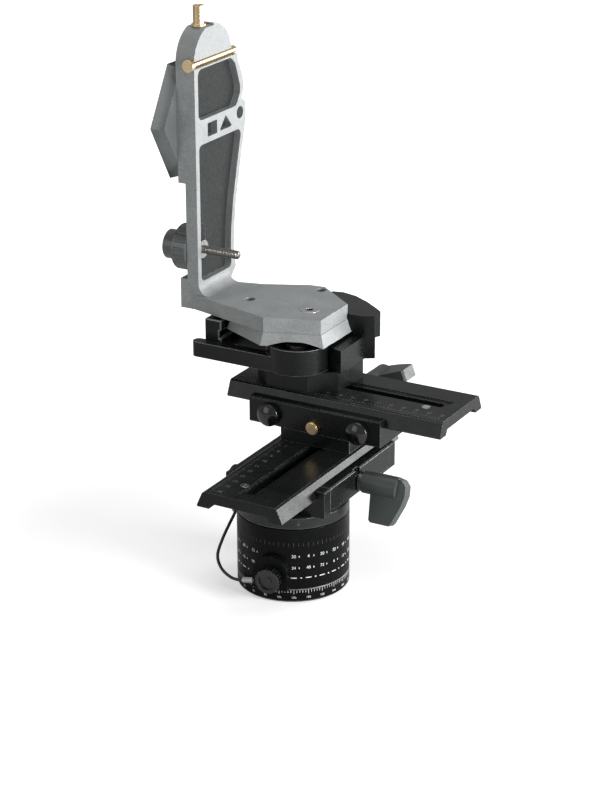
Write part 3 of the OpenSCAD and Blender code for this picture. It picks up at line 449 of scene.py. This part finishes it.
def makeThread(c):
    # radius as a function of angle and length: a rounded saw wave that climbs one pitch a turn
    length = c["end"] - c["start"]
    count = int(length / c["pitch"] * c["perTurn"])
    x = np.linspace(0, length, count)[:, None]
    turn = np.linspace(0, 2 * np.pi, c["around"], endpoint=False)[None, :]
    wave = np.abs(((x / c["pitch"] - turn / (2 * np.pi)) % 1) * 2 - 1)
    r = c["radius"] - c["depth"] * np.clip((wave - c["crest"]) / c["flank"], 0, 1)
    r = np.minimum(r, c["radius"] - np.clip(x - length + c["chamfer"], 0, None))
    r = np.minimum(r, c["radius"] - c["depth"] + np.clip(x / c["pitch"], 0, 1) * c["depth"])
    xs = np.broadcast_to(x + c["start"], r.shape)
    grid = np.stack([xs, c["y"] + r * np.cos(turn), c["z"] + r * np.sin(turn)], -1)
    neck = np.stack([np.full(c["around"], c["neckStart"]), c["y"] + c["neckRadius"] * np.cos(turn[0]),
                     c["z"] + c["neckRadius"] * np.sin(turn[0])], -1)
    neckEnd = neck.copy()
    neckEnd[:, 0] = c["start"]
    verts = np.vstack([neck, neckEnd, grid.reshape(-1, 3)]) * mm
    faces = gridFaces(count + 2, c["around"]).tolist()
    n = len(verts)
    faces += [list(range(c["around"])), list(range(n - c["around"], n))[::-1]]
    o = outwards(meshObject("cameraScrewThread", verts.tolist(), faces))
    o.data.materials.append(steelDark)
    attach(o, "camera_fastener")
    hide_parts("camera_screw")


makeThread(cameraThread)

# printed and engraved marks: numbers and lines, each a thin solid let into the surface
marks = {"raise": 0.03, "sink": 0.05, "curveSteps": 3, "barRings": 5}


def textSolid(text, height):
    curve = bpy.data.curves.new("digits", "FONT")
    curve.body = text
    curve.size = height * mm
    curve.align_x = "CENTER"
    curve.align_y = "CENTER"
    curve.resolution_u = marks["curveSteps"]
    curve.extrude = 0.5 * (marks["raise"] + marks["sink"]) * mm
    o = bpy.data.objects.new("digits", curve)
    bpy.context.scene.collection.objects.link(o)
    bpy.context.view_layer.update()
    mesh = bpy.data.meshes.new_from_object(o.evaluated_get(bpy.context.evaluated_depsgraph_get()))
    verts = np.empty(len(mesh.vertices) * 3)
    mesh.vertices.foreach_get("co", verts)
    verts = verts.reshape(-1, 3)
    faces = [list(f.vertices) for f in mesh.polygons]
    verts[:, 2] += 0.5 * (marks["raise"] - marks["sink"]) * mm
    bpy.data.objects.remove(o)
    bpy.data.curves.remove(curve)
    bpy.data.meshes.remove(mesh)
    return verts, faces


def barSolid(width, height):
    # a thin box centred on the origin, split along its width so that it can bend
    n = marks["barRings"]
    u = np.linspace(-0.5, 0.5, n) * width * mm
    low, high = -marks["sink"] * mm, marks["raise"] * mm
    half = height / 2 * mm
    section = np.array([(-half, low), (half, low), (half, high), (-half, high)])
    verts = np.array([(x, y, z) for x in u for y, z in section])
    faces = gridFaces(n, 4).tolist() + [[3, 2, 1, 0], [4 * n - 4, 4 * n - 3, 4 * n - 2, 4 * n - 1]]
    return verts, faces


def onPlane(verts, centre, acrossText, upText):
    a, u = np.array(acrossText, float), np.array(upText, float)
    return np.array(centre) * mm + verts[:, :1] * a + verts[:, 1:2] * u + verts[:, 2:] * np.cross(a, u)


def onBarrel(verts, azimuth, z, radius):
    turn = math.radians(azimuth) + verts[:, 0] / (radius * mm)
    r = radius * mm + verts[:, 2]
    return np.stack([r * np.cos(turn), r * np.sin(turn), verts[:, 1] + z * mm], -1)


def joinMarks(name, parts, material, body):
    verts = np.vstack([v for v, f in parts])
    starts = np.cumsum([0] + [len(v) for v, f in parts[:-1]])
    faces = [[i + int(s) for i in face] for (v, f), s in zip(parts, starts) for face in f]
    o = outwards(meshObject(name, verts.tolist(), faces, smooth=False))
    o.data.materials.append(material)
    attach(o, body)
    return o


plateMarks = {"half": 80, "step": 10, "numberAcross": -18.6, "numberHeight": 4.2, "tickAcross": -25.4,
              "tickLong": 3.2, "tickShort": 1.8, "tickWidth": 0.35, "every": 2.5}


def markPlate(name, c, centre, along, across, top, body):
    along, across = np.array(along, float), np.array(across, float)
    parts = []
    for k, s in enumerate(np.arange(-c["half"], c["half"] + 1, c["step"])):
        verts, faces = textSolid(str(k), c["numberHeight"])
        place = np.array((*centre, top)) + s * along + c["numberAcross"] * across
        parts.append((onPlane(verts, place, across, -along), faces))
    for s in np.arange(-c["half"], c["half"] + 0.1, c["every"]):
        long = abs(s / c["step"] - round(s / c["step"])) < 0.01
        length = c["tickLong"] if long else c["tickShort"]
        verts, faces = barSolid(length, c["tickWidth"])
        place = np.array((*centre, top)) + s * along + (c["tickAcross"] + length / 2) * across
        parts.append((onPlane(verts, place, across, -along), faces))
    joinMarks(name, parts, dimPaint, body)


def plateCentre(node):
    low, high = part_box(node)
    return (low.x + high.x) / 2 / mm, (low.y + high.y) / 2 / mm, high.z / mm


x0, y0, top = plateCentre("lower_plate")
markPlate("lowerPlateScale", plateMarks, (x0, y0), (0, -1, 0), (1, 0, 0), top, "lower_slider")
x0, y0, top = plateCentre("upper_plate")
markPlate("upperPlateScale", plateMarks, (x0, y0), (1, 0, 0), (0, 1, 0), top, "upper_slider")

barrelMarks = {"radius": 40.0, "bossAzimuth": -82, "bossHalf": 21, "rowsOfNumbers": [(27.2, 3.1), (36.0, 3.3)],
               "numbers": [4, 6, 8, 10, 12, 15, 18, 20, 24, 30, 36, 40, 45, 60, 72, 90], "numberStep": 15,
               "dashZ": 19.6, "dashStep": 15, "dashWidth": 4.2, "dashHeight": 0.6, "tickZ": 45.0, "tickStep": 5,
               "ringNumberZ": 4.3, "ringNumberHeight": 2.3, "ringTickZ": 9.0, "ringTickStep": 3,
               "ringTick": (0.26, 1.8), "ringLongTick": (0.26, 2.8), "ringLongDrop": 0.5, "longEvery": 15,
               "tick": (0.28, 2.2), "longTick": (0.28, 3.4), "numberBar": (0.5, 1.3), "numberBarTurn": 5.5,
               "spot": (0.9, 0.9), "spotTurn": 7.5, "labelStride": 3, "strideGrowth": 4,
               "pinTurn": 7, "pinTop": 24, "bossTop": 40}


def farFromBoss(azimuth, z, c):
    gap = abs((azimuth - c["bossAzimuth"] + 180) % 360 - 180)
    besidePin = azimuth < c["bossAzimuth"] and z < c["pinTop"]
    return gap > c["bossHalf"] + (c["pinTurn"] if besidePin else 0) or z > c["bossTop"]


def markBarrel(c):
    parts, dim = [], []
    for row, (z, height) in enumerate(c["rowsOfNumbers"]):
        for i, azimuth in enumerate(range(-180, 180, c["numberStep"])):
            if farFromBoss(azimuth, z, c):
                stride = c["labelStride"] + c["strideGrowth"] * row
                label = c["numbers"][(i * stride + row) % len(c["numbers"])]
                verts, faces = textSolid(str(label), height)
                parts.append((onBarrel(verts, azimuth, z, c["radius"]), faces))
                verts, faces = barSolid(*c["numberBar"])
                parts.append((onBarrel(verts, azimuth + c["numberBarTurn"], z, c["radius"]), faces))
    for azimuth in range(-180, 180, c["dashStep"]):
        if farFromBoss(azimuth, c["dashZ"], c):
            verts, faces = barSolid(c["dashWidth"], c["dashHeight"])
            parts.append((onBarrel(verts, azimuth, c["dashZ"], c["radius"]), faces))
            verts, faces = barSolid(*c["spot"])
            parts.append((onBarrel(verts, azimuth + c["spotTurn"], c["dashZ"], c["radius"]), faces))
    for azimuth in range(-180, 180, c["tickStep"]):
        verts, faces = barSolid(*c["tick" if azimuth % c["longEvery"] else "longTick"])
        dim.append((onBarrel(verts, azimuth, c["tickZ"], c["radius"]), faces))
    joinMarks("barrelNumbers", parts, markPaint, "pan")
    joinMarks("barrelFineLines", dim, faintPaint, "pan")
    ring = []
    for azimuth in range(-180, 180, c["ringTickStep"]):
        short = azimuth % c["longEvery"]
        verts, faces = barSolid(*c["ringTick" if short else "ringLongTick"])
        z = c["ringTickZ"] - (0 if short else c["ringLongDrop"])
        ring.append((onBarrel(verts, azimuth, z, c["radius"]), faces))
    for i, azimuth in enumerate(range(-180, 180, c["longEvery"])):
        verts, faces = textSolid(str(c["longEvery"] * i), c["ringNumberHeight"])
        ring.append((onBarrel(verts, azimuth, c["ringNumberZ"], c["radius"]), faces))
    joinMarks("scaleRingMarks", ring, markPaint, "base")


markBarrel(barrelMarks)
print("marks made")

# floor, lamps and world
studio = {"floorSize": 14, "worldGrey": 0.2, "worldMirror": 0.4,
          "keyPower": 28.0, "keyPlace": (1.4, -0.05, 0.42), "keySize": 0.6,
          "rimPower": 11.0, "rimPlace": (0.75, 1.1, 0.2), "rimSize": 0.6,
          "frontPower": 4.4, "frontPlace": (-0.8, -1.5, 0.7), "frontSize": 1.0,
          "topPower": 8.0, "topPlace": (-0.1, 0.2, 1.6), "topSize": 1.0, "aim": (-0.02, 0.03, 0.2),
          "floorColour": (0.86, 0.86, 0.86, 1), "floorGlow": 0.45, "glowStart": 0.2, "glowEnd": 0.8}


def makeLamp(name, place, power, size, aim):
    data = bpy.data.lights.new(name, "AREA")
    data.energy = power
    data.size = size
    o = bpy.data.objects.new(name, data)
    o.location = place
    o.rotation_euler = (Vector(aim) - Vector(place)).to_track_quat("-Z", "Y").to_euler()
    bpy.context.scene.collection.objects.link(o)


def makeStudio(c):
    for lamp in ("key", "rim", "front", "top"):
        makeLamp(lamp + "Lamp", c[lamp + "Place"], c[lamp + "Power"], c[lamp + "Size"], c["aim"])
    h = c["floorSize"] / 2
    corners = [(-h, -h, 0), (h, -h, 0), (h, h, 0), (-h, h, 0)]
    floor = meshObject("studioFloor", corners, [(0, 1, 2, 3)], smooth=False)
    m = bpy.data.materials.new("paleFloor")
    m.use_nodes = True
    t = m.node_tree
    p = t.nodes["Principled BSDF"]
    p.inputs["Base Color"].default_value = c["floorColour"]
    p.inputs["Roughness"].default_value = 0.9
    p.inputs["Specular IOR Level"].default_value = 0.0
    p.inputs["Emission Color"].default_value = (1, 1, 1, 1)
    ray = t.nodes.new("ShaderNodeLightPath")
    away = t.nodes.new("ShaderNodeVectorMath")
    away.operation = "LENGTH"
    t.links.new(t.nodes.new("ShaderNodeTexCoord").outputs["Object"], away.inputs[0])
    glow = spread(t, away.outputs["Value"], c["glowStart"], c["glowEnd"], c["floorGlow"], 1.0)
    t.links.new(maths(t, "MULTIPLY", ray.outputs["Is Camera Ray"], glow), p.inputs["Emission Strength"])
    floor.data.materials.append(m)
    world = bpy.data.worlds.new("studioWorld")
    bpy.context.scene.world = world
    world.use_nodes = True
    w = world.node_tree
    ray = w.nodes.new("ShaderNodeLightPath")
    mirrored = maths(w, "MULTIPLY", maths(w, "MAXIMUM", ray.outputs["Is Glossy Ray"],
                                          ray.outputs["Is Transmission Ray"]), c["worldMirror"])
    shown = maths(w, "MAXIMUM", maths(w, "MAXIMUM", ray.outputs["Is Camera Ray"], mirrored), c["worldGrey"])
    w.links.new(shown, w.nodes["Background"].inputs["Strength"])
    w.nodes["Background"].inputs["Color"].default_value = (1, 1, 1, 1)


makeStudio(studio)
bpy.context.scene.view_settings.view_transform = "Standard"

print("scene ready")
